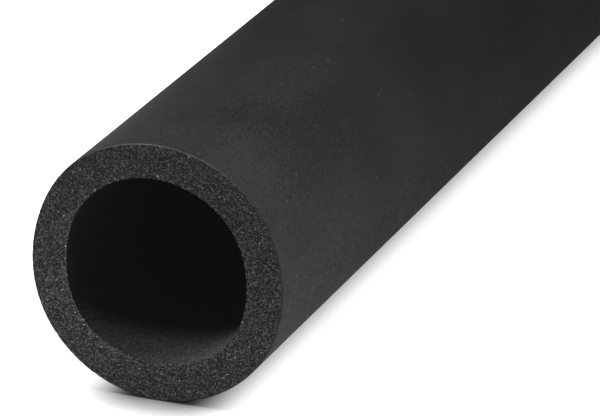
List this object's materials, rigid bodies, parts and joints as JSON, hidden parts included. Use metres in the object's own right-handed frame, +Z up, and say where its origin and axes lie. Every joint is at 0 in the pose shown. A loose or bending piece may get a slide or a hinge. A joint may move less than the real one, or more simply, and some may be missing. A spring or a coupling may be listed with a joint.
{
  "type": "pipe insulation tube",
  "caption": "Straight length of black closed-cell rubber foam tube with an open bore and square-cut ends, pushed over a pipe to insulate it.",
  "frame": {"origin": "on the floor under the middle of the tube's length", "axes": "+Y along the tube, from the near cut end to the far one; +Z up from the floor that it lies on; +X to the right, seen from the near end"},
  "size_m": [0.0669, 1, 0.0673],
  "materials": {
    "rubber_foam": "matte closed-cell nitrile rubber foam, smooth satin skin outside and in the bore, grainy open cells on the cut ends"
  },
  "bodies": {
    "root": {"insulation_tube": "rubber_foam"}
  },
  "joints": []
}
